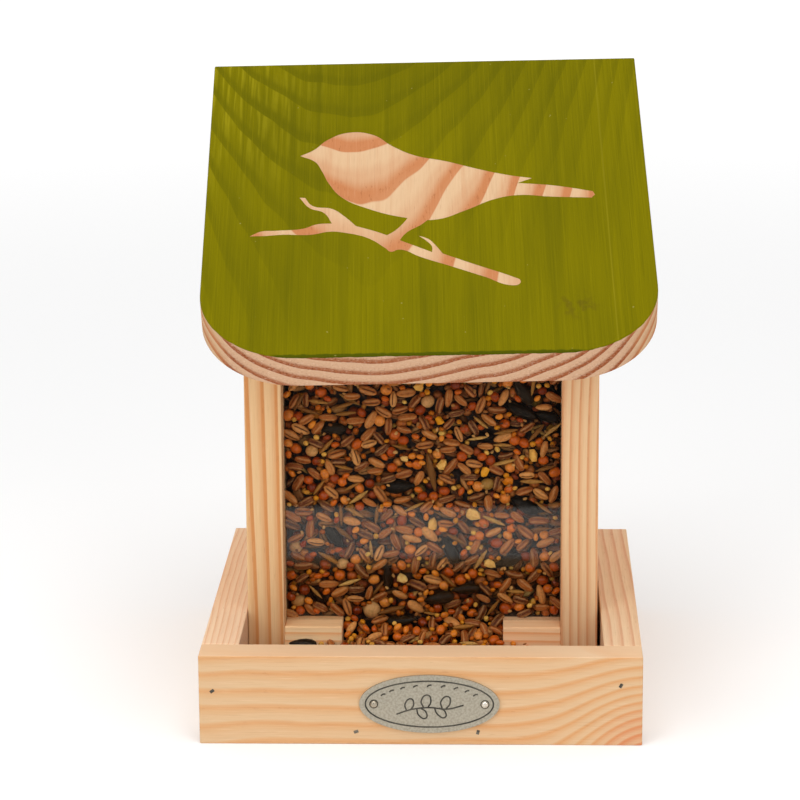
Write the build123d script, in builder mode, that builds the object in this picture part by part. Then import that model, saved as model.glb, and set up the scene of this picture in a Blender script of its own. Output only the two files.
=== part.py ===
from build123d import *
import os
from math import cos, radians, sin, tan

# Small pine seed feeder: a square tray, a hopper with a clear front pane, and a
# lean-to roof board that swings open on two butt hinges at the back.
# Millimetres. +Z is up, the front faces -Y, and the origin is the centre of the
# tray's underside.

# Tray
tray_width = 175
tray_depth = 180
rail_height = 36.5
rail_thickness = 15
floor_thickness = 9
edge_easing = 0.6

# House: two side walls in front of a back board, set slightly left of the tray's centre
house_width = 143.4
house_centre_x = -0.6
wall_thickness = 15
wall_front_y = -32.5
back_thickness = 15

# Roof board: it slopes down to the front and is screwed on slightly out of square
roof_slope = 27.7
roof_turn = 1.8
roof_width = 180
roof_length = 192
roof_thickness = 15
roof_corner_radius = 39
roof_height_at_back = 235.7
roof_rear_setback = 3.1
roof_centre_x = -1.6
roof_rest_gap = 0.25

# Clear pane and the blocks that it stands on
pane_thickness = 2
pane_setback = 9.3
groove_depth = 4
groove_clearance = 0.3
pane_end_clearance = 0.4
pane_foot_gap = 0.1
pane_head_gap = 3.2
block_width = 23.6
block_depth = 15
block_height = 21

# Butt hinges: the leaves lie in the slit between the back board and the roof
hinge_spacing = 100
hinge_length = 25
leaf_width = 13.5
leaf_thickness = 0.9
hinge_slit = 2.1
knuckle_radius = 1.9
knuckle_gap = 0.15
knuckle_relief = 0.25
pin_radius = 1.0
pin_play = 0.05
pin_setback = 1.2
screw_spacing = 14
screw_from_pin = 9
screw_length = 7.5
screw_head_radius = 2.0
screw_shank_radius = 1.1
screw_seat_play = 0.05

# Brads and nails
brad_width = 1.8
brad_thickness = 1.2
brad_length = 26
brad_proud = 0.1
nail_radius = 0.8
nail_head_radius = 1.5
nail_head_thickness = 0.6
nail_length = 26
nail_recess = 0.3
nail_hole_play = 0.05

# Oval badge on the front rail
badge_width = 55.3
badge_height = 23.9
badge_thickness = 0.9
badge_centre_x = 3.6
badge_centre_z = 17.2
badge_line_inset = 2.2
badge_line_width = 0.5
badge_line_depth = 0.25
badge_nail_spacing = 43.8
badge_nail_radius = 0.7
badge_nail_head_radius = 1.5
badge_nail_head_height = 1.2
badge_nail_dome = 1.1
badge_nail_length = 10

# Seed
seed_gap = 0.4
seed_front_height = 150
seed_back_height = 158
spill_edge_height = 4
spill_crest_height = 16
spill_crest_width = 74
spill_crest_depth = 14
spill_tongue_height = 18.5

# Sizes worked out from the ones above
half_width = tray_width / 2
half_depth = tray_depth / 2
inner_half_width = half_width - rail_thickness
trough_front_y = -half_depth + rail_thickness
back_front_y = half_depth - back_thickness
house_left = house_centre_x - house_width / 2
house_right = house_centre_x + house_width / 2
inside_left = house_left + wall_thickness
inside_right = house_right - wall_thickness
inside_width = inside_right - inside_left
pane_front_y = wall_front_y + pane_setback
pane_back_y = pane_front_y + pane_thickness
block_top = floor_thickness + block_height
slope = radians(roof_slope)

# The roof's underside: local x to the right, y up the slope to the back, z out of the roof
underside = Plane(
    origin=(0, half_depth, roof_height_at_back),
    x_dir=(1, 0, 0),
    z_dir=(0, -sin(slope), cos(slope)),
)
pin_drop = hinge_slit / 2
pin_y = half_depth + pin_setback * cos(slope) + pin_drop * sin(slope)
pin_z = roof_height_at_back + pin_setback * sin(slope) - pin_drop * cos(slope)


def underside_height(y, drop=0):
    """Height of the roof's underside above the ground at depth y, less a drop square to it."""
    return roof_height_at_back + (y - half_depth) * tan(slope) - drop / cos(slope)


def save(piece, node):
    """Label a finished piece and write it as its own STEP file."""
    piece.part.label = node
    export_step(piece.part, f"parts/{node}.step")


os.makedirs("parts", exist_ok=True)


# --- Tray ---

wall_centres_x = (house_left + wall_thickness / 2, house_right - wall_thickness / 2)
block_centres_x = (inside_left + block_width / 2, inside_right - block_width / 2)
floor_nail_spots = [(x, y) for x in wall_centres_x for y in (-16, 20, 58)]
floor_nail_spots += [(x, wall_front_y + block_depth / 2) for x in block_centres_x]
floor_nail_spots += [(x, half_depth - back_thickness / 2) for x in (-32, 30)]

with BuildPart() as floor_board:
    with BuildSketch(Plane.XY):
        with Locations((0, (trough_front_y + half_depth) / 2)):
            Rectangle(2 * inner_half_width, half_depth - trough_front_y)
    extrude(amount=floor_thickness)
    # shallow pockets that take the nail heads below the surface
    with BuildSketch(Plane.XY):
        with Locations(*floor_nail_spots):
            Circle(nail_head_radius + nail_hole_play)
    extrude(amount=nail_recess + nail_head_thickness, mode=Mode.SUBTRACT)
save(floor_board, "floor_board")

with BuildPart() as front_rail:
    with BuildSketch(Plane.XY):
        with Locations((0, -half_depth + rail_thickness / 2)):
            Rectangle(tray_width, rail_thickness)
    extrude(amount=rail_height)
    fillet(front_rail.edges(), edge_easing)
save(front_rail, "front_rail")

for side, sign in (("left", -1), ("right", 1)):
    with BuildPart() as side_rail:
        with BuildSketch(Plane.XY):
            with Locations((sign * (half_width - rail_thickness / 2), (trough_front_y + half_depth) / 2)):
                Rectangle(rail_thickness, half_depth - trough_front_y)
        extrude(amount=rail_height)
        fillet(side_rail.edges(), edge_easing)
    save(side_rail, f"{side}_rail")


# --- House ---

for side, outer_x, inward in (("left", house_left, 1), ("right", house_right, -1)):
    inner_x = outer_x + inward * wall_thickness
    with BuildPart() as wall:
        with BuildSketch(Plane.YZ.offset(outer_x)):
            with BuildLine():
                Polyline(
                    (wall_front_y, floor_thickness),
                    (back_front_y, floor_thickness),
                    (back_front_y, underside_height(back_front_y, roof_rest_gap)),
                    (wall_front_y, underside_height(wall_front_y, roof_rest_gap)),
                    close=True,
                )
            make_face()
        extrude(amount=inward * wall_thickness)
        fillet(wall.edges(), edge_easing)
        # the groove that the pane slides in, open at the top
        with BuildSketch(Plane.XY.offset(floor_thickness)):
            with Locations((inner_x - inward * groove_depth / 2, (pane_front_y + pane_back_y) / 2)):
                Rectangle(groove_depth, pane_thickness + 2 * groove_clearance)
        extrude(amount=roof_height_at_back, mode=Mode.SUBTRACT)
    save(wall, f"{side}_wall")

with BuildPart() as back_board:
    with BuildSketch(Plane.YZ.offset(house_left)):
        with BuildLine():
            Polyline(
                (back_front_y, floor_thickness),
                (half_depth, floor_thickness),
                (half_depth, underside_height(half_depth, hinge_slit)),
                (back_front_y, underside_height(back_front_y, hinge_slit)),
                close=True,
            )
        make_face()
    extrude(amount=house_width)
    fillet(back_board.edges().filter_by(Axis.Z), edge_easing)
save(back_board, "back_board")

for side, centre_x in zip(("left", "right"), block_centres_x):
    with BuildPart() as pane_block:
        with BuildSketch(Plane.XY.offset(floor_thickness)):
            with Locations((centre_x, wall_front_y + block_depth / 2)):
                Rectangle(block_width, block_depth)
        extrude(amount=block_height)
        fillet(pane_block.edges(), edge_easing)
    save(pane_block, f"{side}_pane_block")

with BuildPart() as front_pane:
    with BuildSketch(Plane.XZ.offset(-pane_front_y)):
        pane_foot = block_top + pane_foot_gap
        pane_head = underside_height(pane_front_y) - pane_head_gap
        with Locations((house_centre_x, (pane_foot + pane_head) / 2)):
            Rectangle(inside_width + 2 * (groove_depth - pane_end_clearance), pane_head - pane_foot)
    extrude(amount=-pane_thickness)
save(front_pane, "front_pane")


# --- Roof board ---

# the board's own frame: the middle of its lower rear edge, turned within the underside's plane
roof_plane = Plane(underside.location * Location((roof_centre_x, -roof_rear_setback, 0), (0, 0, roof_turn)))

with BuildPart() as roof_board:
    with BuildSketch(roof_plane):
        with Locations((0, -roof_length / 2)):
            Rectangle(roof_width, roof_length)
        fillet(vertices().group_by(Axis.Y)[0], roof_corner_radius)
    extrude(amount=roof_thickness)
    fillet(roof_board.edges(), edge_easing)
save(roof_board, "roof_board")


# --- Butt hinges ---

knuckle_length = hinge_length / 3
leaf_root = pin_setback - knuckle_radius - knuckle_relief
leaf_end = pin_setback - leaf_width
screw_y = pin_setback - screw_from_pin

for side, sign in (("left", -1), ("right", 1)):
    hinge_x = house_centre_x + sign * hinge_spacing / 2
    barrel_centre = underside.from_local_coords((hinge_x, pin_setback, -pin_drop))
    barrel_plane = Plane(barrel_centre, x_dir=(0, 1, 0), z_dir=(1, 0, 0))
    # the fixed leaf owns the two outer knuckles and the moving leaf the middle one
    outer_offset = (hinge_length - knuckle_length) / 2
    outer_length = knuckle_length - knuckle_gap / 2
    middle_length = knuckle_length - knuckle_gap
    leaf_kinds = (
        ("fixed", -hinge_slit, 1, [-outer_offset, outer_offset], outer_length, pin_radius),
        ("moving", 0, -1, [0], middle_length, pin_radius + pin_play),
    )
    for kind, wood_face, away, knuckle_spots, length, bore_radius in leaf_kinds:
        with BuildPart() as leaf:
            with BuildSketch(underside.offset(wood_face)):
                with Locations((hinge_x, (leaf_root + leaf_end) / 2)):
                    Rectangle(hinge_length, leaf_root - leaf_end)
                for spot in knuckle_spots:
                    with Locations((hinge_x + spot, (leaf_root + pin_setback) / 2)):
                        Rectangle(length, pin_setback - leaf_root)
            extrude(amount=away * leaf_thickness)
            for spot in knuckle_spots:
                with BuildSketch(barrel_plane.offset(spot - length / 2)):
                    Circle(knuckle_radius)
                extrude(amount=length)
            with BuildSketch(barrel_plane.offset(-hinge_length)):
                Circle(bore_radius)
            extrude(amount=2 * hinge_length, mode=Mode.SUBTRACT)
            # countersunk screw seats, wide at the face that looks away from the wood
            for spot in (-screw_spacing / 2, screw_spacing / 2):
                with BuildSketch(underside.offset(wood_face)):
                    with Locations((hinge_x + spot, screw_y)):
                        Circle(screw_shank_radius + screw_seat_play)
                with BuildSketch(underside.offset(wood_face + away * leaf_thickness)):
                    with Locations((hinge_x + spot, screw_y)):
                        Circle(screw_head_radius + screw_seat_play)
                loft(mode=Mode.SUBTRACT)
        save(leaf, f"{side}_hinge_{kind}_leaf")

    with BuildPart() as hinge_pin:
        with BuildSketch(barrel_plane.offset(-hinge_length / 2)):
            Circle(pin_radius)
        extrude(amount=hinge_length)
    save(hinge_pin, f"{side}_hinge_pin")

screw_spots = [(house_centre_x + side * hinge_spacing / 2 + spot, screw_y)
               for side in (-1, 1) for spot in (-screw_spacing / 2, screw_spacing / 2)]

for node, face, into_wood in (("back_hinge_screws", leaf_thickness - hinge_slit, -1),
                              ("roof_hinge_screws", -leaf_thickness, 1)):
    with BuildPart() as hinge_screws:
        for x, y in screw_spots:
            with BuildSketch(underside.offset(face)):
                with Locations((x, y)):
                    Circle(screw_head_radius)
            with BuildSketch(underside.offset(face + into_wood * leaf_thickness)):
                with Locations((x, y)):
                    Circle(screw_shank_radius)
            loft()
            with BuildSketch(underside.offset(face + into_wood * leaf_thickness)):
                with Locations((x, y)):
                    Circle(screw_shank_radius)
            extrude(amount=into_wood * (screw_length - leaf_thickness))
    save(hinge_screws, node)


# --- Brads and nails ---

# two into the side rails' ends and two into the floor's edge, each turned a little
front_brads = ((-82.2, 21.9, 35), (78.9, 24.9, 60), (-25.4, 5.3, 20), (22.7, 5.3, 75))
with BuildPart() as front_rail_brads:
    for x, z, turn in front_brads:
        with BuildSketch(Plane.XZ.offset(half_depth + brad_proud)):
            with Locations((x, z)):
                Rectangle(brad_width, brad_thickness, rotation=turn)
        extrude(amount=-brad_length)
save(front_rail_brads, "front_rail_brads")

for side, sign in (("left", -1), ("right", 1)):
    with BuildPart() as rail_brads:
        with BuildSketch(Plane.YZ.offset(sign * (half_width + brad_proud))):
            with Locations((-42, floor_thickness / 2), (12, floor_thickness / 2), (66, floor_thickness / 2)):
                Rectangle(brad_width, brad_thickness)
        extrude(amount=-sign * brad_length)
    save(rail_brads, f"{side}_rail_brads")

with BuildPart() as floor_nails:
    with BuildSketch(Plane.XY.offset(nail_recess)):
        with Locations(*floor_nail_spots):
            Circle(nail_head_radius)
    extrude(amount=nail_head_thickness)
    with BuildSketch(Plane.XY.offset(nail_recess)):
        with Locations(*floor_nail_spots):
            Circle(nail_radius)
    extrude(amount=nail_length)
save(floor_nails, "floor_nails")

back_nail_spots = [(x, z) for x in wall_centres_x for z in (58, 122, 186)]
with BuildPart() as back_board_nails:
    with BuildSketch(Plane.XZ.offset(-half_depth - brad_proud)):
        with Locations(*back_nail_spots):
            Circle(nail_head_radius)
    extrude(amount=nail_head_thickness)
    with BuildSketch(Plane.XZ.offset(-half_depth - brad_proud)):
        with Locations(*back_nail_spots):
            Circle(nail_radius)
    extrude(amount=nail_length)
save(back_board_nails, "back_board_nails")


# --- Oval badge ---

with BuildPart() as oval_badge:
    badge_plane = Plane.XZ.offset(half_depth)
    with BuildSketch(badge_plane):
        with Locations((badge_centre_x, badge_centre_z)):
            Ellipse(badge_width / 2, badge_height / 2)
            with GridLocations(badge_nail_spacing, 0, 2, 1):
                Circle(badge_nail_radius + nail_hole_play, mode=Mode.SUBTRACT)
    extrude(amount=badge_thickness)
    with BuildSketch(badge_plane.offset(badge_thickness - badge_line_depth)):
        with Locations((badge_centre_x, badge_centre_z)):
            Ellipse(badge_width / 2 - badge_line_inset, badge_height / 2 - badge_line_inset)
            Ellipse(
                badge_width / 2 - badge_line_inset - badge_line_width,
                badge_height / 2 - badge_line_inset - badge_line_width,
                mode=Mode.SUBTRACT,
            )
    extrude(amount=badge_line_depth, mode=Mode.SUBTRACT)
save(oval_badge, "oval_badge")

with BuildPart() as badge_nails:
    badge_face = Plane.XZ.offset(half_depth + badge_thickness)
    with BuildSketch(badge_face):
        with Locations((badge_centre_x, badge_centre_z)):
            with GridLocations(badge_nail_spacing, 0, 2, 1):
                Circle(badge_nail_head_radius)
    extrude(amount=badge_nail_head_height)
    fillet(badge_nails.faces().filter_by(Axis.Y).sort_by(Axis.Y)[:2].edges(), badge_nail_dome)
    with BuildSketch(badge_face):
        with Locations((badge_centre_x, badge_centre_z)):
            with GridLocations(badge_nail_spacing, 0, 2, 1):
                Circle(badge_nail_radius)
    extrude(amount=-badge_nail_length)
save(badge_nails, "badge_nails")


# --- Seed ---

with BuildPart() as seed_fill:
    with BuildSketch(Plane.YZ.offset(inside_left + seed_gap)):
        with BuildLine():
            Polyline(
                (pane_back_y + seed_gap, floor_thickness),
                (back_front_y - seed_gap, floor_thickness),
                (back_front_y - seed_gap, seed_back_height),
                (pane_back_y + seed_gap, seed_front_height),
                close=True,
            )
        make_face()
    extrude(amount=inside_width - 2 * seed_gap)
    # room for the pane blocks, which reach behind the pane
    with BuildSketch(Plane.XY.offset(floor_thickness)):
        for block_x in block_centres_x:
            with Locations((block_x, wall_front_y + block_depth / 2)):
                Rectangle(block_width + 2 * seed_gap, block_depth + 2 * seed_gap)
    extrude(amount=block_height + seed_gap, mode=Mode.SUBTRACT)
save(seed_fill, "seed_fill")

spill_back_y = wall_front_y - seed_gap
spill_depth = spill_back_y - trough_front_y - seed_gap
slot_width = inside_width - 2 * block_width

with BuildPart() as seed_spill:
    # a low bed over the tray's floor that rises to a crest in front of the slot
    with BuildSketch(Plane.XY.offset(floor_thickness)):
        with Locations((0, spill_back_y - spill_depth / 2)):
            Rectangle(2 * (inner_half_width - seed_gap), spill_depth)
    extrude(amount=spill_edge_height)
    with BuildSketch(Plane.XY.offset(floor_thickness + spill_edge_height)):
        with Locations((0, spill_back_y - spill_depth / 2)):
            Rectangle(2 * (inner_half_width - seed_gap), spill_depth)
    with BuildSketch(Plane.XY.offset(floor_thickness + spill_crest_height)):
        with Locations((house_centre_x, spill_back_y - spill_crest_depth / 2)):
            Rectangle(spill_crest_width, spill_crest_depth)
    loft()
    # the tongue of seed in the slot, under the pane
    with BuildSketch(Plane.XY.offset(floor_thickness)):
        with Locations((house_centre_x, (spill_back_y + pane_back_y) / 2)):
            Rectangle(slot_width - 2 * seed_gap, pane_back_y - spill_back_y)
    extrude(amount=spill_tongue_height)
save(seed_spill, "seed_spill")

print("roof hinge axis: y", round(pin_y, 3), "z", round(pin_z, 3))
print("pane play under the shut roof:", round(underside_height(pane_front_y) - pane_head, 2))
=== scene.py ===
import bpy
import bmesh
import math
import random
from itertools import product
from mathutils import Matrix, Vector


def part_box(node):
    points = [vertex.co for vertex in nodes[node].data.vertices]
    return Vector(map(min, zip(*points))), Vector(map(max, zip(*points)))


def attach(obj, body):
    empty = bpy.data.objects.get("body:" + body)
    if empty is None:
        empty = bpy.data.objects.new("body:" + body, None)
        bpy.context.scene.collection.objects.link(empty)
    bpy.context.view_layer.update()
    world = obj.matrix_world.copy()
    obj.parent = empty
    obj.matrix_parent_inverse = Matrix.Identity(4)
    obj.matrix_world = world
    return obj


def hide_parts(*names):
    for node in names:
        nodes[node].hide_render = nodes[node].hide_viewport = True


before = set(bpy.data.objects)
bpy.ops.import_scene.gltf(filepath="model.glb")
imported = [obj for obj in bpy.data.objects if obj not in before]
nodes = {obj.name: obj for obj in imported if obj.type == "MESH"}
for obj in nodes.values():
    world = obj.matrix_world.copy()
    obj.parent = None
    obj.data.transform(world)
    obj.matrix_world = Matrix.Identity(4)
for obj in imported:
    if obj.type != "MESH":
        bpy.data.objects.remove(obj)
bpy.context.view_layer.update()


def tone(red, green, blue):
    # a colour as a paint chart gives it, 0 to 255, made linear for the shader
    parts = [((c / 255 + 0.055) / 1.055) ** 2.4 if c > 10 else c / 255 / 12.92 for c in (red, green, blue)]
    return (*parts, 1.0)


class Wire:
    # wraps one output socket, so that shader maths reads as plain sums
    def __init__(self, tree, socket=None):
        self.tree = tree
        self.socket = socket

    def node(self, kind, settings=None, inputs=None, out=0):
        made = self.tree.nodes.new("ShaderNode" + kind)
        for name, value in (settings or {}).items():
            if name == "stops":
                ramp = made.color_ramp
                while len(ramp.elements) < len(value):
                    ramp.elements.new(0.5)
                for element, (place, colour) in zip(ramp.elements, value):
                    element.position = place
                    element.color = colour if isinstance(colour, tuple) else (colour, colour, colour, 1)
            elif name == "blend":
                made.color_ramp.interpolation = value
            else:
                setattr(made, name, value)
        for key, value in (inputs or {}).items():
            if isinstance(value, Wire):
                self.tree.links.new(value.socket, made.inputs[key])
            else:
                made.inputs[key].default_value = value
        return Wire(self.tree, made.outputs[out] if made.outputs else None)

    def math(self, operation, first, second=0.0):
        return self.node("Math", {"operation": operation}, {0: first, 1: second})

    def __add__(self, other):
        return self.math("ADD", self, other)

    __radd__ = __add__

    def __mul__(self, other):
        return self.math("MULTIPLY", self, other)

    __rmul__ = __mul__

    def __sub__(self, other):
        return self.math("SUBTRACT", self, other)

    def __rsub__(self, other):
        return self.math("SUBTRACT", other, self)

    def __truediv__(self, other):
        return self.math("DIVIDE", self, other)

    def __pow__(self, other):
        return self.math("POWER", self, other)

    def root(self):
        return self.math("SQRT", self)

    def size(self):
        return self.math("ABSOLUTE", self)

    def part(self):
        return self.math("FRACT", self)

    def lower(self, other):
        return self.math("MINIMUM", self, other)

    def step(self, low, high):
        # 0 below low and 1 above high, with a soft turn between them
        return self.node("MapRange", {"interpolation_type": "SMOOTHSTEP"},
                         {0: self, 1: low, 2: high, 3: 0.0, 4: 1.0})

    def ramp(self, stops, blend="LINEAR"):
        return self.node("ValToRGB", {"stops": stops, "blend": blend}, {0: self})

    def blend(self, first, second):
        # from the first colour to the second as this wire goes from 0 to 1
        return self.node("Mix", {"data_type": "RGBA", "blend_type": "MIX"}, {0: self, 6: first, 7: second}, 2)

    def stretch(self, along, across, up):
        return self.node("VectorMath", {"operation": "MULTIPLY"}, {0: self, 1: (along, across, up)})

    def noise(self, scale=1.0, detail=2.0, roughness=0.5):
        return self.node("TexNoise", {}, {"Vector": self, "Scale": scale, "Detail": detail,
                                          "Roughness": roughness})

    def distance(self, point):
        return self.node("VectorMath", {"operation": "DISTANCE"}, {0: self, 1: point}, 1)

    def axis(self, which):
        return self.node("SeparateXYZ", {}, {0: self}, which)


def newMaterial(name):
    material = bpy.data.materials.new(name)
    material.use_nodes = True
    tree = material.node_tree
    tree.nodes.clear()
    return material, Wire(tree)


def finishMaterial(material, start, **inputs):
    named = {name.replace("_", " "): value for name, value in inputs.items()}
    surface = start.node("BsdfPrincipled", {}, named)
    start.node("OutputMaterial", {}, {"Surface": surface})
    return material


def addObject(name, data):
    made = bpy.data.objects.new(name, data)
    bpy.context.scene.collection.objects.link(made)
    return made


def addMesh(name, bm, material):
    # a bmesh becomes a mesh object of the same name, in one material
    mesh = bpy.data.meshes.new(name)
    bm.to_mesh(mesh)
    bm.free()
    mesh.materials.append(material)
    return addObject(name, mesh)


def paint(node, material):
    nodes[node].data.materials.clear()
    nodes[node].data.materials.append(material)


def addStroke(curve, points, closed):
    # each point is its place in metres and whether its corner is sharp
    spline = curve.splines.new("BEZIER")
    spline.bezier_points.add(len(points) - 1)
    for point, (place, sharp) in zip(spline.bezier_points, points):
        point.co = place
        point.handle_left_type = point.handle_right_type = "VECTOR" if sharp else "AUTO"
    spline.use_cyclic_u = closed


def curveMesh(name, curve):
    holder = addObject(name, curve)
    bpy.context.view_layer.update()
    mesh = bpy.data.meshes.new_from_object(holder)
    bpy.data.objects.remove(holder)
    return mesh


print("stage")
stageSet = {
    "lens": 142.3,
    "cameraPlace": (0.0333, -1.2702, 0.4339),
    "pitch": 0.2436,
    "yaw": -0.0343,
    "roll": 0.0067,
    "view": "Standard",
    "aim": (0, 0, 0.1),               # where the lights point
    "worldStrength": 0.6,
    "floorSize": 60.0,
    "floorTone": (0.85, 0.85, 0.85, 1),
    "floorGlow": [(0, 0.1), (1, 0.5)],
    "glowRange": (0.4, 2.2),          # distances from the middle
    "cardSize": 3.0,
    "cardEdge": 0.295,                # how far in front the card starts
    "cardHeight": 0.0005,
    "lights": [
        # name, place, size, watts
        ("softboxLeft", (-1.1, -1.5, 1.05), 1.3, 9.5),
        ("softboxRight", (1.0, -1.6, 0.9), 1.3, 7.0),
        ("softboxTop", (0.0, -0.5, 1.9), 1.4, 19.0),
    ],
}
cameraData = bpy.data.cameras.new("camera")
cameraData.lens = stageSet["lens"]
cameraData.sensor_width = 36
camera = addObject("camera", cameraData)
camera.matrix_world = (
    Matrix.Translation(stageSet["cameraPlace"])
    @ Matrix.Rotation(-stageSet["yaw"], 4, "Z")
    @ Matrix.Rotation(math.pi / 2 - stageSet["pitch"], 4, "X")
    @ Matrix.Rotation(-stageSet["roll"], 4, "Z")
)
bpy.context.scene.camera = camera

for name, place, size, watts in stageSet["lights"]:
    lightData = bpy.data.lights.new(name, "AREA")
    lightData.energy = watts
    lightData.size = size
    light = addObject(name, lightData)
    light.location = place
    light.rotation_euler = (Vector(stageSet["aim"]) - Vector(place)).to_track_quat("-Z", "Y").to_euler()

world = bpy.data.worlds.new("studio")
bpy.context.scene.world = world
world.use_nodes = True
backdrop = world.node_tree.nodes["Background"].inputs
backdrop["Color"].default_value = (1, 1, 1, 1)
backdrop["Strength"].default_value = stageSet["worldStrength"]
bpy.context.scene.view_settings.view_transform = stageSet["view"]

floorPaint, start = newMaterial("palePaper")
away = start.node("TexCoord", out="Object").distance((0, 0, 0)).step(*stageSet["glowRange"])
finishMaterial(floorPaint, start, Base_Color=stageSet["floorTone"], Roughness=0.9, Emission_Strength=1.0,
               Emission_Color=away.ramp(stageSet["floorGlow"]))
bm = bmesh.new()
bmesh.ops.create_grid(bm, x_segments=1, y_segments=1, size=stageSet["floorSize"] / 2)
floor = addMesh("floor", bm, floorPaint)

# a black card in front, met only by reflections, keeps the upper part of the pane clear as in a studio
cardPaint, start = newMaterial("blackCard")
finishMaterial(cardPaint, start, Base_Color=(0.004, 0.004, 0.004, 1), Roughness=1.0)
halfCard = stageSet["cardSize"] / 2
bm = bmesh.new()
bmesh.ops.create_grid(bm, x_segments=1, y_segments=1, size=halfCard)
bmesh.ops.translate(bm, vec=(0, -halfCard - stageSet["cardEdge"], stageSet["cardHeight"]), verts=bm.verts)
card = addMesh("card", bm, cardPaint)
card.visible_camera = card.visible_diffuse = card.visible_shadow = card.visible_transmission = False

roofSlope = math.radians(27.7)
roofTurn = math.radians(1.8)
# the grain runs along x, y or z, or up the roof's slope; each turn brings it onto the pattern's own x
grainTurns = {
    "x": (0, 0, 0),
    "y": (0, 0, -math.pi / 2),
    "z": (0, math.pi / 2, 0),
    "roof": (-roofSlope, 0, -math.pi / 2 - roofTurn),
}
grainLines = {
    "x": (1, 0, 0),
    "y": (0, 1, 0),
    "z": (0, 0, 1),
    "roof": (0, math.cos(roofSlope), math.sin(roofSlope)),
}

# how dark a ring gets from its pale early wood to the sharp end of its late wood
crispRings = [(0.0, 0.0), (0.3, 0.05), (0.62, 0.4), (0.84, 1.0), (0.93, 0.85), (1.0, 0.0)]
softRings = [(0.0, 0.0), (0.25, 0.12), (0.5, 0.5), (0.74, 1.0), (0.86, 0.7), (1.0, 0.0)]
broadRings = [(0.0, 0.0), (0.22, 0.04), (0.5, 0.35), (0.82, 1.0), (0.96, 0.95), (1.0, 0.0)]
sawnRings = [(0.0, 0.02), (0.48, 0.08), (0.76, 0.9), (0.94, 1.0), (1.0, 0.02)]

pineSet = {
    # how often each pattern repeats in a metre: along the grain, across it and up
    "slowScale": (3, 12, 12),
    "fibreScale": (70, 2400, 2400),
    "streakScale": (12, 420, 420),
    "fleckScale": (160, 1500, 1500),
    "cloudScale": (8, 25, 25),
    "tornScale": (240, 900, 900),
    "poreScale": (500, 1300, 1300),
    "sawScale": (700, 700, 2600),
    "glowTone": (255, 232, 200),
    "sawTone": (238, 212, 186),
    "bumpStrength": 0.35,
    "bumpDepth": 0.00025,
}
# what a board has unless its own entry says otherwise
pineTones = {
    "early": (229, 191, 148),
    "late": (216, 150, 94),
    "flush": (227, 186, 144),
    "dark": (150, 92, 54),
    "profile": crispRings,
    "contrast": 1.0,
    "waver": 0.004,
    "waverAlong": 9,
    "slow": 0.012,
    "shift": 0,
    "tilt": (0, 0),
    "bend": (0, 0),
    "bendFrom": 0,
    "streaks": 0.22,
    "glow": 0.22,
    "torn": 0.15,
    "ridge": 0.3,
    "sheen": 0.2,
}


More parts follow.
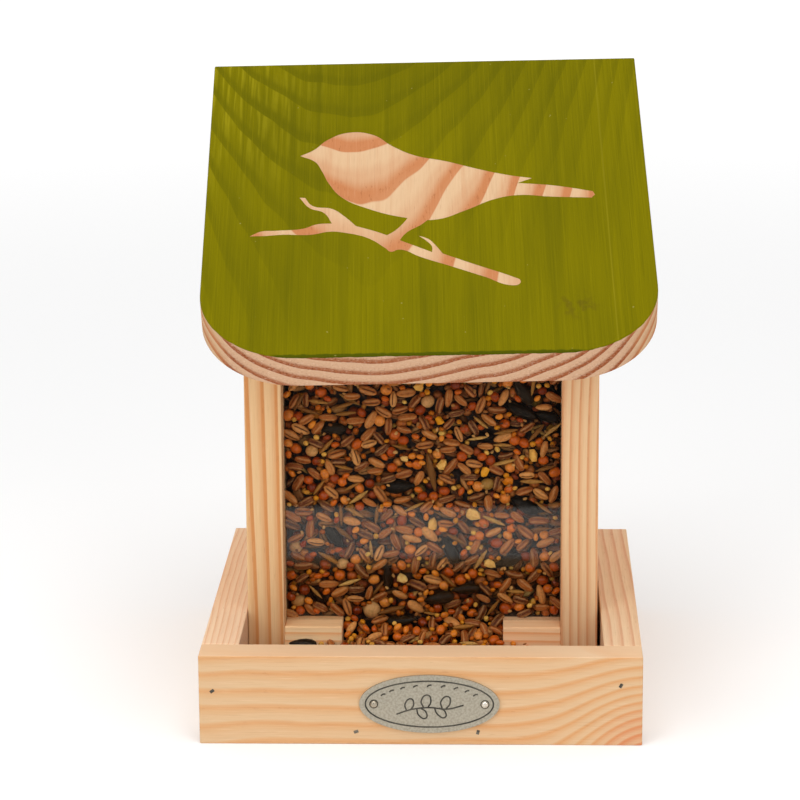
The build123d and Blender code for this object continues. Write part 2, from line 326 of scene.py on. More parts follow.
def pineBoard(name, board, stain=None):
    # growth rings stand round a heart line beside the board, so faces, edges and ends agree
    material, start = newMaterial(name)
    place = start.node("TexCoord", out="Object")
    place = place.node("Mapping", {}, {"Vector": place, "Rotation": grainTurns[board["grain"]]})
    along, across, up = place.axis(0), place.axis(1), place.axis(2)
    waver = place.stretch(board["waverAlong"], 30, 30).noise(detail=2) - 0.5
    slow = place.stretch(*pineSet["slowScale"]).noise(detail=1) - 0.5
    run = along - board["bendFrom"]
    sideways = across - board["heart"][0] - run * board["tilt"][0] - run * run * board["bend"][0]
    upwards = up - board["heart"][1] - run * board["tilt"][1] - run * run * board["bend"][1]
    reach = (sideways * sideways + upwards * upwards).root()
    rings = (reach + waver * board["waver"] + slow * board["slow"]) / board["ring"] + board["shift"]
    if "knot" in board:
        knot = board["knot"]
        far = (along - knot["along"]) / knot["length"]
        high = (up - knot["high"]) / knot["width"]
        swell = start.math("EXPONENT", 0 - (far * far + high * high))
        rings = rings + swell * knot["rings"]
    phase = rings.part()
    late = phase.ramp(board["profile"], "EASE")
    fibre = place.stretch(*pineSet["fibreScale"]).noise(detail=3, roughness=0.6)
    streak = place.stretch(*pineSet["streakScale"]).noise(detail=2)
    fleck = place.stretch(*pineSet["fleckScale"]).noise(detail=1)
    cloud = place.stretch(*pineSet["cloudScale"]).noise(detail=2)
    facing = start.node("VectorMath", {"operation": "DOT_PRODUCT"},
                        {0: start.node("TexCoord", out="Normal"), 1: grainLines[board["grain"]]}, 1)
    endFace = facing.size().step(0.55, 0.8)
    lateness = (late * (0.65 + 0.7 * cloud) * board["contrast"]).lower(1.0)
    early, dark = tone(*board["early"]), tone(*board["dark"])
    colour = (cloud.step(0.38, 0.7) * 0.6).blend(early, tone(*board["flush"]))
    colour = lateness.blend(colour, tone(*board["late"]))
    if "knot" in board:
        colour = (swell.step(0.35, 1.0) * (0.25 + late * 0.5)).blend(colour, tone(*board["knot"]["tint"]))
    colour = (streak.step(0.45, 0.75) * board["streaks"]).blend(colour, tone(*board["late"]))
    colour = (fibre.step(0.5, 0.8) * 0.2).blend(colour, dark)
    colour = ((1 - fibre).step(0.55, 0.8) * board["glow"]).blend(colour, tone(*pineSet["glowTone"]))
    colour = (fleck.step(0.72, 0.8) * 0.22).blend(colour, dark)
    # the plane tore a few specks out of the hard late wood
    torn = place.stretch(*pineSet["tornScale"]).noise(detail=3, roughness=0.7).step(0.58, 0.68)
    colour = (torn * late.step(0.5, 0.9) * board["torn"]).blend(colour, dark)
    # painted light: faces turned upwards are blended towards a lighter tone, standing in for more light from above
    if "paintedTopLight" in board:
        litTop = start.node("TexCoord", out="Normal").axis(2).step(0.6, 0.9)
        colour = (litTop * 0.6).blend(colour, tone(*board["paintedTopLight"]))
    # sawn ends show the rings as thin dark lines with specks along them
    line = phase.ramp(sawnRings, "EASE") * 1.1
    pores = place.stretch(*pineSet["poreScale"]).noise(detail=2, roughness=0.7)
    saw = place.stretch(*pineSet["sawScale"]).noise(detail=2)
    endEarly = tone(*board.get("endEarly", board["early"]))
    endLate = tone(*board.get("endLate", board["late"]))
    endDark = tone(*board.get("endDark", board["dark"]))
    ends = (line * (0.55 + 0.7 * cloud)).lower(1.0).blend(endEarly, endLate)
    ends = (pores.step(0.52, 0.7) * (0.1 + 0.75 * late)).blend(ends, endDark)
    ends = (saw.step(0.5, 0.75) * 0.3).blend(ends, tone(*pineSet["sawTone"]))
    colour = endFace.blend(colour, ends)
    relief = fibre * 0.6 + streak * 0.6 + late * board["ridge"] + endFace * saw * 1.5
    roughness = 0.62 + fibre * 0.16
    if stain:
        colour, roughness = stain(place, colour, late, cloud, roughness)
    bump = start.node("Bump", {}, {"Strength": pineSet["bumpStrength"], "Distance": pineSet["bumpDepth"],
                                   "Height": relief})
    return finishMaterial(material, start, Base_Color=colour, Roughness=roughness, Normal=bump,
                          Specular_IOR_Level=board["sheen"])


print("pine boards")
boards = {
    "front_rail": {"grain": "x", "heart": (-0.05, -0.16), "ring": 0.0072, "tilt": (0, 0.045), "waver": 0.008,
                   "waverAlong": 14, "slow": 0.02, "profile": softRings, "contrast": 0.8, "shift": 0.8,
                   "early": (212, 178, 138), "late": (209, 150, 94), "flush": (213, 177, 138), "streaks": 0.06,
                   # its top face is painted lighter, as painted light from above
                   "paintedTopLight": (240, 206, 168),
                   "knot": {"along": 0.09, "length": 0.026, "high": -0.004, "width": 0.028, "rings": -6.0,
                            "tint": (206, 120, 78)}},
    "left_rail": {"grain": "y", "heart": (-0.02, -0.06), "ring": 0.0017, "waver": 0.003, "contrast": 0.7,
                  "early": (243, 212, 176), "late": (228, 174, 134), "flush": (241, 206, 170)},
    "right_rail": {"grain": "y", "heart": (0.03, -0.05), "ring": 0.0034, "waver": 0.003, "contrast": 0.85,
                   "early": (235, 202, 162), "late": (217, 160, 122), "flush": (233, 196, 158)},
    "left_wall": {"grain": "z", "heart": (0.02, 0.13), "tilt": (0.035, -0.026), "ring": 0.0042,
                  "waver": 0.0015, "contrast": 1.25, "streaks": 0.12,
                  "early": (229, 191, 142), "late": (210, 144, 86), "flush": (227, 186, 138)},
    "right_wall": {"grain": "z", "heart": (0.03, -0.14), "tilt": (0.035, 0.029), "ring": 0.0028,
                   "waver": 0.0015, "streaks": 0.15,
                   "early": (232, 197, 152), "late": (216, 156, 108), "flush": (230, 191, 147)},
    "back_board": {"grain": "z", "heart": (0.15, 0.01), "ring": 0.0046},
    "left_pane_block": {"grain": "x", "heart": (-0.03, -0.05), "ring": 0.0031, "waver": 0.002,
                        "early": (253, 218, 168), "late": (246, 182, 120), "flush": (253, 214, 166)},
    "right_pane_block": {"grain": "x", "heart": (-0.03, -0.04), "ring": 0.0033, "waver": 0.002,
                         "early": (250, 208, 160), "late": (240, 170, 112), "flush": (250, 204, 160)},
    "floor_board": {"grain": "y", "heart": (0.01, 0.07), "ring": 0.004},
}
for node, board in boards.items():
    paint(node, pineBoard("pine_" + node, {**pineTones, **board}))


print("roof")
roofSet = {
    "rear": (0, 0.09, 0.2357),        # middle of the underside's rear edge
    "setback": (-0.0016, -0.0031, 0),
    "thickness": 0.015,
    "topInPattern": 0.1819,           # height of the top face on the pattern's own z
    "board": {"grain": "roof", "heart": (0.0166, 0.307), "tilt": (0.057, 0), "bend": (0, -0.8), "bendFrom": -0.006,
              "ring": 0.0055, "waver": 0.005, "slow": 0.006, "shift": 0.66, "profile": broadRings,
              "ridge": 0.1, "contrast": 1.1, "glow": 0.1, "torn": 0.4, "sheen": 0.02,
              "early": (206, 173, 136), "late": (185, 121, 79), "flush": (202, 166, 129), "dark": (138, 78, 44),
              "endEarly": (204, 165, 133), "endLate": (150, 84, 50), "endDark": (104, 46, 20)},
    "greenLight": (116, 108, 0),
    "greenDark": (84, 82, 2),
    "greenEdge": (72, 76, 2),
    "greenPale": (138, 127, 8),
    "greenRingHighlight": (158, 146, 24),
    "greenScore": (150, 138, 30),
    "speckTone": (160, 150, 80),
    "smearTone": (82, 66, 18),
    "smear": (0.022, -0.062, 0.1819),
    "scoreAcross": -0.0768,
    "cutDepth": 0.0002,               # half the thickness of a bare shape
    # how far each bare shape stands above the stain, so that no two share a plane
    "birdLift": 0.00004,
    "legLift": 0.00003,
    "twigLift": 0.00005,
}
roofPlace = (
    Matrix.Translation(roofSet["rear"])
    @ Matrix.Rotation(roofSlope, 4, "X")
    @ Matrix.Translation(roofSet["setback"])
    @ Matrix.Rotation(roofTurn, 4, "Z")
)


def greenStain(place, colour, late, cloud, roughness):
    upSlope, across, height = place.axis(0), place.axis(1), place.axis(2)
    dark = tone(*roofSet["greenDark"])
    top = roofSet["topInPattern"]
    ragged = place.stretch(260, 260, 60).noise(detail=3) * 0.0009
    onTop = (height + ragged).step(top - 0.00035, top - 0.0001)
    # rings show through the stain, most of all towards the rear corners
    fan = (upSlope + across * 0.6).step(0.04, 0.17)
    green = (late * (0.12 + fan * 0.36 * (0.5 + cloud))).blend(tone(*roofSet["greenLight"]), dark)
    rearMiddle = upSlope.step(0.11, 0.19) * (1 - (across + 0.004).size().step(0.03, 0.075))
    green = (rearMiddle * 0.4).blend(green, dark)
    green = (cloud.step(0.4, 0.8) * 0.45).blend(green, dark)
    # brush lines, fine and broad
    lines = place.stretch(16, 2400, 2400).noise(detail=3, roughness=0.75)
    brushed = place.stretch(5, 160, 160).noise(detail=2)
    green = (lines.step(0.48, 0.72) * 0.42).blend(green, dark)
    green = ((1 - lines).step(0.52, 0.76) * 0.42).blend(green, tone(*roofSet["greenPale"]))
    green = (brushed.step(0.5, 0.75) * 0.35).blend(green, dark)
    patch = place.stretch(260, 260, 260).noise(detail=3).step(0.45, 0.62)
    smear = (1 - place.distance(roofSet["smear"]).step(0.003, 0.011)) * patch
    green = (smear * 0.4).blend(green, tone(*roofSet["smearTone"]))
    # painted highlight: the raised rings are painted lighter where they crowd towards one rear corner, as if they
    # catch the light
    crowd = across.step(0.02, 0.085) * upSlope.step(0.06, 0.17)
    ringHighlight = place.stretch(22, 500, 500).noise(detail=2).step(0.45, 0.65)
    green = (crowd * ringHighlight * (1 - late) * 0.5).blend(green, tone(*roofSet["greenRingHighlight"]))
    # the stain has soaked into the ragged front edge
    front = (upSlope + 0.006 - ragged * 2).step(0.0, 0.0011)
    green = front.blend(tone(*roofSet["greenEdge"]), green)
    specks = place.stretch(420, 420, 420).noise(detail=1).step(0.79, 0.82)
    green = (specks * 0.5).blend(green, tone(*roofSet["speckTone"]))
    score = (across - roofSet["scoreAcross"]).size().step(0.0, 0.0005)
    green = ((1 - score) * 0.3).blend(green, tone(*roofSet["greenScore"]))
    return onTop.blend(colour, green), onTop * (0.5 + lines * 0.16 - roughness) + roughness


roofTones = {**pineTones, **roofSet["board"]}
paint("roof_board", pineBoard("green_stained_pine", roofTones, greenStain))

# outlines on the board: millimetres across from the middle and down from the rear edge, sharp corners marked
birdOutline = [
    (-52, 65, 1), (-46.5, 61.2), (-41, 54.5), (-32, 49.6), (-22, 51.5), (-14, 59.5), (-5, 66), (8, 70.5),
    (22, 76.5), (33, 80.5), (43, 83, 1), (37, 86, 1), (52, 88.2), (67.4, 92.4, 1), (68.2, 94.6, 1),
    (66.8, 96.6, 1), (50, 95.4), (37, 94), (27, 96.5), (16, 103), (3, 109), (-10, 107), (-24, 101),
    (-34.5, 93.5), (-40, 84), (-43, 75.5), (-46, 69),
]
legOutline = [
    (-6, 104, 1), (2.5, 105.5, 1), (-2, 111.5), (-8.5, 117), (-12.5, 124.5, 1), (-20, 121, 1), (-13, 115.5),
]
twigOutline = [
    (-71.5, 117.5, 1), (-67, 114.6), (-61, 114.2), (-50, 113.2), (-44.5, 110.6), (-38.5, 110.2, 1), (-42, 103),
    (-47.5, 100), (-51.8, 93, 1), (-49.6, 93.2, 1), (-46.4, 98.6), (-38.5, 100.8), (-33.5, 105.8),
    (-28.8, 112.2, 1), (-20, 116.4), (-9, 123.2), (1.6, 129.8, 1), (1.6, 126.2), (-0.6, 122.4), (-3.6, 119.2, 1),
    (0.2, 121.4), (3.2, 125.8), (5.8, 130.8, 1), (17, 137.2), (33.6, 146.4), (36, 148.2), (35.7, 150.6),
    (33, 151.4), (22, 145.7), (9, 138.8), (-4, 132), (-9.4, 128.2), (-12, 127.8), (-14.8, 129), (-17, 126.6),
    (-24, 120), (-33, 116.4), (-39, 115.4), (-47, 117.2), (-58, 116.8), (-66, 117.4),
]


def cutOut(name, outline, lift):
    curve = bpy.data.curves.new(name, "CURVE")
    curve.dimensions = "2D"
    curve.fill_mode = "BOTH"
    curve.extrude = roofSet["cutDepth"]
    curve.resolution_u = 8
    addStroke(curve, [((across / 1000, -down / 1000, 0), sharp) for across, down, *sharp in outline], True)
    mesh = curveMesh(name, curve)
    bm = bmesh.new()
    bm.from_mesh(mesh)
    bmesh.ops.remove_doubles(bm, verts=bm.verts, dist=0.000001)
    bmesh.ops.recalc_face_normals(bm, faces=bm.faces)
    height = roofSet["thickness"] + lift - roofSet["cutDepth"]
    bmesh.ops.translate(bm, vec=(0, 0, height), verts=bm.verts)
    bmesh.ops.transform(bm, matrix=roofPlace, verts=bm.verts)
    bm.to_mesh(mesh)
    bm.free()
    return addObject(name, mesh)


barePine = pineBoard("bare_pine", roofTones)
for name, outline, lift in (("bare_bird", birdOutline, roofSet["birdLift"]),
                            ("bare_leg", legOutline, roofSet["legLift"]),
                            ("bare_twig", twigOutline, roofSet["twigLift"])):
    piece = cutOut(name, outline, lift)
    piece.data.materials.append(barePine)
    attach(piece, "roof")


print("pane")
paneSet = {
    "straight": 0.021,                # the mirror share seen square on
    "grazing": 0.8,                   # what is added to it edge on
    "tint": (0.97, 0.975, 0.97, 1),
    "glint": (1, 0.97, 0.92, 1),
    "roughness": 0.03,
}
paneMaterial, start = newMaterial("clear_sheet")
seeThrough = start.node("BsdfTransparent", {}, {"Color": paneSet["tint"]})
shine = start.node("BsdfGlossy", {}, {"Color": paneSet["glint"], "Roughness": paneSet["roughness"]})
# the mirror share rises at a grazing angle, alike on both faces of the sheet
glance = start.node("LayerWeight", {}, {"Blend": 0.5}, 1) ** 5 * paneSet["grazing"] + paneSet["straight"]
sheet = start.node("MixShader", {}, {0: glance, 1: seeThrough, 2: shine})
start.node("OutputMaterial", {}, {"Surface": sheet})
paint("front_pane", paneMaterial)


print("metal")


def metal(name, light, dark, roughness, grit, metallic=1.0, patches=180):
    material, start = newMaterial(name)
    place = start.node("TexCoord", out="Object")
    cloud = place.noise(scale=patches, detail=3)
    speck = place.noise(scale=grit, detail=3, roughness=0.7)
    colour = cloud.step(0.35, 0.7).blend(tone(*light), tone(*dark))
    colour = (speck.step(0.55, 0.75) * 0.4).blend(colour, tone(*dark))
    bump = start.node("Bump", {}, {"Strength": 0.3, "Distance": 0.0001, "Height": speck})
    return finishMaterial(material, start, Base_Color=colour, Metallic=metallic,
                          Roughness=speck * 0.15 + (roughness - 0.07), Normal=bump)


# light and dark tone, roughness, how fine the grit is, then how metallic and how fine the patches are
metals = {
    "hinge": metal("zinc_plated_steel", (196, 194, 186), (150, 148, 142), 0.34, 1400),
    "brad": metal("dull_steel", (128, 120, 106), (62, 57, 50), 0.55, 2600, 0.5),
    "nail": metal("bright_steel", (226, 218, 204), (170, 160, 142), 0.25, 2200),
    "badge": metal("matt_pewter", (180, 173, 156), (158, 151, 135), 0.46, 3800, 0.78, 1100),
}
metalNodes = {
    "hinge": ["left_hinge_fixed_leaf", "left_hinge_moving_leaf", "left_hinge_pin", "right_hinge_fixed_leaf",
              "right_hinge_moving_leaf", "right_hinge_pin", "back_hinge_screws", "roof_hinge_screws"],
    "brad": ["front_rail_brads", "left_rail_brads", "right_rail_brads", "floor_nails", "back_board_nails"],
    "nail": ["badge_nails"],
    "badge": ["oval_badge"],
}
for finish, names in metalNodes.items():
    for name in names:
        paint(name, metals[finish])


print("badge")
badgeSet = {
    "centre": (0.0036, -0.0909, 0.0172),
    "oval": (25.2, 9.5),              # the engraved line's half sizes
    "ovalPoints": 24,
    "lineRadius": 0.00034,
    "lineSink": 0.0001,
    "markOval": (21.0, 7.6),          # the short marks follow a smaller oval over the top
    "marks": 9,
    "nailAcross": 21.9,
    "nailShadeRing": 1.5,
    # strokes in millimetres across and up from the badge's centre: a sprig and its leaves
    "strokes": [
        [(-13, -4.2), (-7, -2.2), (0, -1.4), (7, -2.0), (13.5, -0.4)],
        [(-9, -2.8), (-9.6, 0), (-7.2, 2.2), (-6.2, -0.2), (-7.4, -2.3)],
        [(-2.2, -1.6), (-3.2, 1.4), (-0.6, 3.8), (0.6, 1.2), (-0.6, -1.4)],
        [(5, -1.8), (4.6, 1.2), (7.4, 3.2), (8.2, 0.6), (6.6, -1.9)],
        [(-5, -1.9), (-4.2, -4.6), (-1.4, -5.8), (-1.4, -3.2), (-3.4, -1.7)],
        [(2, -1.5), (3.2, -4.2), (6.2, -5.4), (6, -2.8), (3.8, -1.6)],
    ],
}


def ringPoints(width, height, count):
    angles = [math.tau * i / count for i in range(count)]
    return [(width * math.cos(angle), height * math.sin(angle)) for angle in angles]


strokes = list(badgeSet["strokes"])
for i in range(badgeSet["marks"]):
    angle = math.radians(150 - i * 15)
    x, z = badgeSet["markOval"][0] * math.cos(angle), badgeSet["markOval"][1] * math.sin(angle)
    strokes.append([(x - 0.9, z - 0.35), (x, z + 0.25), (x + 0.9, z + 0.35)])
for side in (-1, 1):                  # a dark ring round each nail: painted shade round the nail head, drawn as an engraved line
    ring = ringPoints(badgeSet["nailShadeRing"], badgeSet["nailShadeRing"], 8)
    strokes.append([(side * badgeSet["nailAcross"] + x, z) for x, z in [*ring, ring[0]]])
border = ringPoints(*badgeSet["oval"], badgeSet["ovalPoints"])

engraving = bpy.data.curves.new("engraving", "CURVE")
engraving.dimensions = "3D"
engraving.bevel_depth = badgeSet["lineRadius"]
engraving.bevel_resolution = 1
engraving.resolution_u = 6
engraving.use_fill_caps = True
centreX, centreY, centreZ = badgeSet["centre"]
for stroke in [*strokes, border]:
    addStroke(engraving, [((centreX + across / 1000, centreY + badgeSet["lineSink"], centreZ + high / 1000), False)
                          for across, high in stroke], stroke is border)
engravingMesh = curveMesh("engraving_line", engraving)
badgeMarks = addObject("badge_engraving_and_nail_shade", engravingMesh)
engravingMesh.materials.clear()
engravingMesh.materials.append(metal("blackened_line_and_nail_shade", (84, 80, 70), (54, 52, 46), 0.6, 2600, 0.5))
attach(badgeMarks, "feeder")


print("seed mix")
seedSet = {
    "seed": 11,
    "overlap": 0.84,                  # how near two seeds may lie, as a share of their radii
    "cell": 0.004,                    # side of a cell in the grid that finds neighbours
    "tries": 60,
    "moreTries": 8,                   # for each seed still wanted
    # half length, half width, half thickness in metres, then the share of each in the mix
    "kinds": {
        "sunflower": (0.0060, 0.0027, 0.0019, 0.01),
        "pea": (0.0031, 0.0030, 0.0028, 0.004),
        "corn": (0.0031, 0.0025, 0.0018, 0.01),
        "husk": (0.0046, 0.0010, 0.0009, 0.04),
        "wheat": (0.0039, 0.00185, 0.0015, 0.31),
        "milo": (0.0023, 0.0022, 0.0020, 0.22),
        "oval": (0.0018, 0.0013, 0.0012, 0.18),
        "millet": (0.0012, 0.00105, 0.0010, 0.20),
        "chip": (0.0011, 0.0008, 0.0005, 0.16),
    },
    "paneLayers": [1100, 1100, 700],
    "topLayers": [700, 500],
    "spillLayers": [520, 380],
    "slotSeeds": 110,
    "faceSeeds": 40,
    "paneGap": 0.0024,                # from one layer to the next
    "bedGap": 0.0022,
    "topFront": 0.150,                # height of the seed at the pane, and its rise towards the back
    "topRise": 0.008,
    "spillFoot": 0.0135,              # height of the bed's edge, and its rise to the crest
    "spillRise": 0.0118,
    "spillBack": 0.0117,              # the bed stops this far short of its box at the back
    "spillReach": 0.028,              # how far the crest slopes to the front and to the sides
    "spillSides": 0.0356,
    "slotMiddle": -0.0006,
    "slotHalf": 0.0364,
    "slotHigh": 0.0305,
    "coreInset": 0.0035,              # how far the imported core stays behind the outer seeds
    "coreFront": 0.006,
    "coreTop": 0.0055,
    "coreGap": 0.0002,                # how far it stands off the floor
    "bedDepth": 0.0042,
    "shadeStart": 0.0018,              # how far behind the pane the painted shade on the seed starts
    "shadeTone": (21, 7, 0),
    # two that stopped against the left block
    "stopped": [(-0.0495, -0.0385, 0.0262), (-0.0405, -0.0375, 0.0258)],
    # a few big or bright ones that lie against the pane: kind, across, height and size
    "pressed": [
        ("pea", -0.022, 0.0325, 1.2), ("pea", 0.026, 0.087, 0.95), ("pea", -0.046, 0.101, 0.85),
        ("corn", 0.020, 0.074, 1.25), ("corn", 0.027, 0.053, 1.0), ("corn", -0.008, 0.098, 0.7),
        ("husk", 0.003, 0.092, 1.9), ("husk", -0.014, 0.033, 1.3), ("husk", 0.046, 0.109, 1.1),
        ("husk", -0.031, 0.045, 1.1), ("sunflower", -0.010, 0.086, 1.1), ("sunflower", 0.040, 0.118, 1.15),
        ("sunflower", 0.006, 0.038, 1.1), ("sunflower", 0.017, 0.042, 1.0),
    ],
}


def seedShape(kind):
    # one seed of full size, lying along x, with its place on a unit ball kept for its markings
    broken = kind in ("corn", "chip")
    bm = bmesh.new()
    if broken:
        bmesh.ops.create_icosphere(bm, subdivisions=1, radius=1)
    else:
        bmesh.ops.create_uvsphere(bm, u_segments=8, v_segments=7, radius=1,
                                  matrix=Matrix.Rotation(math.pi / 2, 4, "Y"))
    luck = random.Random(len(kind))
    for vertex in bm.verts:
        x, y, z = vertex.co
        if kind == "wheat":
            vertex.co = (x, y * (1 - 0.14 * x), z * (0.84 if abs(y) < 0.5 and z > 0 else 1))
        elif kind == "sunflower":
            vertex.co = (x, y * (1 - 0.35 * max(x, 0) - 0.12 * x), z * (1 - 0.3 * x))
        elif kind == "husk":
            vertex.co = (x, y * (1 - 0.45 * abs(x)), z * (1 - 0.3 * x))
        elif kind == "oval":
            vertex.co = (x, y * (1 - 0.15 * x), z)
        elif kind == "milo":
            vertex.co = (x + 0.12 * max(x, 0) ** 4, y, z)
        elif broken:
            vertex.co = (x * luck.uniform(0.7, 1.1), y * luck.uniform(0.7, 1.1), z * luck.uniform(0.7, 1.1))
    size = seedSet["kinds"][kind]
    local = bm.verts.layers.float_vector.new("seedPoint")
    bm.verts.layers.float.new("seedLuck")
    for vertex in bm.verts:
        vertex[local] = vertex.co
    bmesh.ops.transform(bm, matrix=Matrix.Diagonal((*size[:3], 1)), verts=bm.verts)
    mesh = bpy.data.meshes.new("shape_" + kind)
    for face in bm.faces:
        face.smooth = not broken
    bm.to_mesh(mesh)
    bm.free()
    return mesh


dice = random.Random(seedSet["seed"])
seedKinds = list(seedSet["kinds"])
seedShapes = {kind: seedShape(kind) for kind in seedKinds}
seedPiles = {kind: bmesh.new() for kind in seedKinds}
seedCells = {}
cellSize = seedSet["cell"]


def seedBalls(centre, line, half, width):
    # an elongated seed is felt as a row of balls
    reach = max(half - width, 0)
    count = 1 if reach < 0.0004 else 3 if reach < 0.003 else 5
    return [centre + line * (reach * (2 * i / (count - 1) - 1) if count > 1 else 0) for i in range(count)]


def cellOf(ball):
    return tuple(int(part // cellSize) for part in ball)


def hasRoom(balls, radius):
    for ball in balls:
        cellX, cellY, cellZ = cellOf(ball)
        for i, j, k in product((-1, 0, 1), repeat=3):
            for other, size in seedCells.get((cellX + i, cellY + j, cellZ + k), ()):
                if (ball - other).length < (radius + size) * seedSet["overlap"]:
                    return False
    return True


def layDown(kind, centre, facing, spread, grow=None):
    half, width, thick = seedSet["kinds"][kind][:3]
    grow = grow or dice.uniform(0.84, 1.12)
    side = (Vector((1, 0, 0)) - facing * facing.x).normalized()
    over = facing.cross(side)
    turn = dice.gauss(0, spread)
    line = (side * math.cos(turn) + over * math.sin(turn) + facing * dice.uniform(-0.25, 0.25)).normalized()
    centre = centre - facing * thick * grow
    balls = seedBalls(centre, line, half * grow, width * grow)
    radius = (width + thick) / 2 * grow
    if not hasRoom(balls, radius):
        return False
    for ball in balls:
        seedCells.setdefault(cellOf(ball), []).append((ball, radius))
    roll = dice.uniform(-0.6, 0.6) + (math.pi if dice.random() < 0.4 else 0)
    up = (facing - line * facing.dot(line)).normalized()
    turned = Matrix.Rotation(roll, 3, line) @ up
    stance = Matrix((line, turned.cross(line), turned)).transposed().to_4x4()
    if dice.random() < 0.5:
        stance = stance @ Matrix.Rotation(math.pi, 4, "Z")
    mesh = seedShapes[kind].copy()
    plump = Matrix.Diagonal((grow, grow * dice.uniform(0.86, 1.1), grow, 1))
    mesh.transform(Matrix.Translation(centre) @ stance @ plump)
    luck = dice.random()
    mesh.attributes["seedLuck"].data.foreach_set("value", [luck] * len(mesh.vertices))
    seedPiles[kind].from_mesh(mesh)
    bpy.data.meshes.remove(mesh)
    return True


def fillLayer(count, spot, spread):
    # big seeds first, and the small ones find the gaps
    laid = 0
    for kind in seedKinds:
        wanted = round(count * seedSet["kinds"][kind][3])
        misses = 0
        while wanted > 0 and misses < seedSet["tries"] + seedSet["moreTries"] * wanted:
            centre, facing = spot()
            if layDown(kind, centre, facing, spread):
                wanted -= 1
                laid += 1
            else:
                misses += 1
    return laid


hopperLow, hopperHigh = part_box("seed_fill")
spillLow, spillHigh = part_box("seed_spill")
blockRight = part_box("left_pane_block")[1].x
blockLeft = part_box("right_pane_block")[0].x
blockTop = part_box("left_pane_block")[1].z
toFront = Vector((0, -1, 0))
toSky = Vector((0, 0, 1))


def paneSpot(depth):
    def spot():
        return Vector((dice.uniform(hopperLow.x + 0.001, hopperHigh.x - 0.001),
                       hopperLow.y + 0.0003 + depth + dice.uniform(0, 0.0012),
                       dice.uniform(blockTop + 0.0012, hopperHigh.z - 0.007))), toFront
    return spot


def topHeight(y):
    share = (y - hopperLow.y) / (hopperHigh.y - hopperLow.y)
    return seedSet["topFront"] + seedSet["topRise"] * share


def topSpot(depth):
    def spot():
        x = dice.uniform(hopperLow.x + 0.002, hopperHigh.x - 0.002)
        y = dice.uniform(hopperLow.y + 0.002, hopperHigh.y - 0.002)
        z = topHeight(y) - depth + dice.uniform(-0.0008, 0.0006)
        return Vector((x, y, z)), Vector((0, -0.08, 1)).normalized()
    return spot


def spillHeight(x, y):
    # a low bed that rises to a crest in front of the slot
    back = min(max((spillHigh.y - seedSet["spillBack"] - y) / seedSet["spillReach"], 0), 1)
    side = min(max((abs(x - seedSet["slotMiddle"]) - seedSet["slotHalf"]) / seedSet["spillSides"], 0), 1)
    return seedSet["spillFoot"] + seedSet["spillRise"] * (1 - max(back, side))


def spillSpot(depth):
    def spot():
        x = dice.uniform(spillLow.x + 0.0015, spillHigh.x - 0.0015)
        y = dice.uniform(spillLow.y + 0.0015, spillHigh.y - 0.0125)
        return Vector((x, y, spillHeight(x, y) - depth + dice.uniform(-0.0006, 0.0006))), toSky
    return spot


def slotSpot():
    # seed runs out of the hopper under the pane and down to the crest
    x = dice.uniform(blockRight + 0.0012, blockLeft - 0.0012)
    share = dice.random()
    y = hopperLow.y + 0.001 - 0.0125 * share
    z = seedSet["slotHigh"] - 0.0055 * share - dice.choice((0, 0, 0.0025, 0.005))
    return Vector((x, y, z)), Vector((0, -0.55, 0.83)).normalized()


def faceSpot():
    # the face of the seed that stands in the slot
    x = dice.uniform(blockRight + 0.0012, blockLeft - 0.0012)
    return Vector((x, hopperLow.y + dice.uniform(-0.0005, 0.001), dice.uniform(0.0235, 0.0325))), toFront


for spot in seedSet["stopped"]:
    layDown("sunflower", Vector(spot), Vector((0, -0.3, 1)).normalized(), 0.0)
for kind, across, high, grow in seedSet["pressed"]:
    layDown(kind, Vector((across, hopperLow.y + 0.0004, high)), toFront, 0.5, grow)
# how many, where, and how far they turn from lying level
layers = [(count, paneSpot(seedSet["paneGap"] * i), 0.75) for i, count in enumerate(seedSet["paneLayers"])]
layers += [(seedSet["slotSeeds"], slotSpot, 1.2), (seedSet["faceSeeds"], faceSpot, 1.0)]
layers += [(count, spillSpot(seedSet["bedGap"] * i), 3) for i, count in enumerate(seedSet["spillLayers"])]
layers += [(count, topSpot(seedSet["bedGap"] * i), 3) for i, count in enumerate(seedSet["topLayers"])]
print("seeds laid", [fillLayer(*layer) for layer in layers])


def seedMaterial(name, tones, roughness, marks=None, shine=0.2):
    # the tones run from the dullest to the brightest seed of the kind, and marks draws on its coat
    material, start = newMaterial(name)
    luck = start.node("Attribute", {"attribute_name": "seedLuck"}, out=2)
    local = start.node("Attribute", {"attribute_name": "seedPoint"}, out=1)
    place = start.node("TexCoord", out="Object")
    last = len(tones) - 1
    colour = luck.ramp([(i / last, tone(*shade)) for i, shade in enumerate(tones)])
    mottle = place.noise(scale=900, detail=3)
    colour = (mottle.step(0.4, 0.75) * 0.4).blend(colour, tone(*tones[0]))
    if marks:
        colour = marks(local, colour, luck)
    # painted shade: seed that lies deeper behind the pane is darkened and made rougher, except near the top
    behind = (place.axis(1) - (hopperLow.y + seedSet["shadeStart"])).step(0.0, 0.0035)
    depthShade = behind * (1 - place.axis(2).step(0.136, 0.146))
    colour = (depthShade * 0.72).blend(colour, tone(*seedSet["shadeTone"]))
    bump = start.node("Bump", {}, {"Strength": 0.4, "Distance": 0.0002, "Height": mottle})
    return finishMaterial(material, start, Base_Color=colour, Roughness=depthShade * 0.4 + roughness, Normal=bump,
                          Specular_IOR_Level=shine)


def darkTip(local, colour, luck):
    # the scar where the grain sat on its stalk
    tip = local.axis(0).step(0.9, 1.02)
    return (tip * 0.9).blend(colour, tone(40, 22, 12))


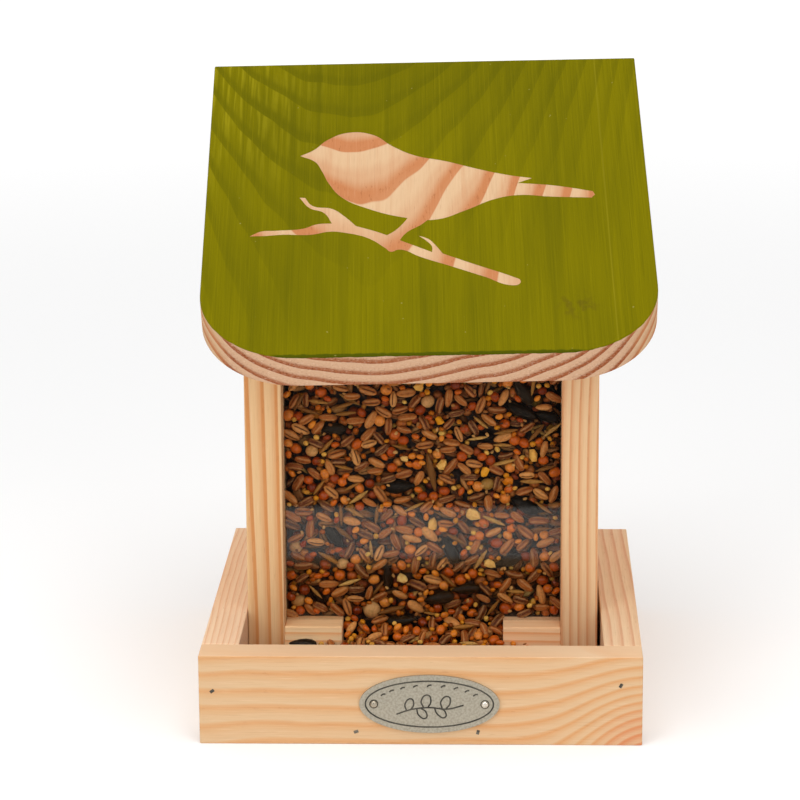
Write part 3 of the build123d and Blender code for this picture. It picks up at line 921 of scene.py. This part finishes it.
def crease(local, colour, luck):
    # painted shade down the crease on one face, a painted highlight in a band along the rim, and dry streaks along
    # the coat
    along, across = local.axis(0).size(), local.axis(1).size()
    creaseShade = (1 - across.step(0.05, 0.24)) * local.axis(2).step(0.2, 0.5) * (1 - along.step(0.6, 0.85))
    rimHighlight = across.step(0.3, 0.5) * (1 - across.step(0.6, 0.8))
    coat = local.stretch(1.5, 9, 9).noise(detail=2).step(0.45, 0.7)
    colour = (coat * 0.3 + rimHighlight * 0.35).blend(colour, tone(208, 156, 98))
    return (creaseShade * (0.35 + (luck * 7).part().step(0.35, 0.6) * 0.55)).blend(colour, tone(60, 26, 4))


def stripes(local, colour, luck):
    lines = local.stretch(0.6, 7, 7).noise(detail=2).step(0.56, 0.68)
    return (lines * 0.35).blend(colour, tone(92, 80, 64))


def husk(local, colour, luck):
    lines = local.stretch(0.8, 8, 8).noise(detail=2).step(0.45, 0.65)
    return (lines * 0.5).blend(colour, tone(112, 80, 46))


seedFinishes = {
    "sunflower": seedMaterial("sunflower_hull", [(20, 13, 6), (40, 28, 14)], 0.42, stripes, 0.12),
    "pea": seedMaterial("dry_pea", [(120, 92, 10), (208, 150, 88), (226, 178, 120)], 0.45),
    "corn": seedMaterial("broken_corn", [(210, 116, 2), (236, 160, 14), (240, 200, 120)], 0.4),
    "husk": seedMaterial("straw_husk", [(110, 64, 16), (170, 112, 40), (222, 174, 94)], 0.6, husk, 0.2),
    "wheat": seedMaterial("wheat_coat", [(84, 32, 3), (152, 74, 18), (182, 102, 38), (226, 154, 82)], 0.4,
                          crease, 0.15),
    "milo": seedMaterial("milo_coat", [(112, 36, 2), (188, 78, 8), (216, 108, 24), (232, 144, 58)], 0.28,
                         darkTip, 0.3),
    "oval": seedMaterial("red_millet", [(160, 56, 2), (214, 104, 12), (240, 150, 44)], 0.3, None, 0.3),
    "millet": seedMaterial("millet", [(112, 50, 4), (186, 92, 4), (216, 138, 20), (236, 188, 90)], 0.34),
    "chip": seedMaterial("grain_chips", [(60, 30, 8), (150, 88, 34), (214, 160, 90)], 0.6, None, 0.2),
}
for kind in seedKinds:
    pile = addMesh("seed_" + kind, seedPiles[kind], seedFinishes[kind])
    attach(pile, "feeder")
    print("  ", kind, len(pile.data.polygons), "faces")

# packed seed behind the outer grains, painted near black as the shade in the gaps between them
bm = bmesh.new()
bmesh.ops.create_cube(bm, size=1)
inset = seedSet["coreInset"]
low = hopperLow + Vector((inset, seedSet["coreFront"], inset))
high = hopperHigh - Vector((inset, inset, 0))
for vertex in bm.verts:
    y = high.y if vertex.co.y > 0 else low.y
    z = topHeight(y) - seedSet["coreTop"] if vertex.co.z > 0 else low.z + seedSet["coreGap"]
    vertex.co = (high.x if vertex.co.x > 0 else low.x, y, z)
bed = bmesh.ops.create_grid(bm, x_segments=24, y_segments=8, size=0.5)["verts"]
for vertex in bed:
    x = (spillLow.x + spillHigh.x) / 2 + vertex.co.x * (spillHigh.x - spillLow.x - 0.001)
    y = spillLow.y + 0.0005 + (vertex.co.y + 0.5) * (spillHigh.y - spillLow.y - 0.0125)
    vertex.co = (x, y, spillHeight(x, y) - seedSet["bedDepth"])
bedFaces = list(dict.fromkeys(face for vertex in bed for face in vertex.link_faces))
sides = bmesh.ops.extrude_face_region(bm, geom=bedFaces)["geom"]
for vertex in [part for part in sides if isinstance(part, bmesh.types.BMVert)]:
    vertex.co.z = spillLow.z + seedSet["coreGap"]
bmesh.ops.recalc_face_normals(bm, faces=bm.faces)
# painted shade: the packed seed is coloured near black so that the gaps between grains read as shadow
coreShadeMaterial, start = newMaterial("packed_seed_painted_shade")
place = start.node("TexCoord", out="Object")
grit = place.noise(scale=420, detail=3)
grains = place.node("TexVoronoi", {}, {"Vector": place, "Scale": 330.0})
bump = start.node("Bump", {}, {"Strength": 0.8, "Distance": 0.001, "Height": 1 - grains})
finishMaterial(coreShadeMaterial, start, Base_Color=grit.ramp([(0.35, tone(16, 9, 5)), (0.7, tone(58, 33, 17))]),
               Roughness=0.85, Normal=bump)
core = addMesh("packed_seed_painted_shade", bm, coreShadeMaterial)
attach(core, "feeder")
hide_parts("seed_fill", "seed_spill")
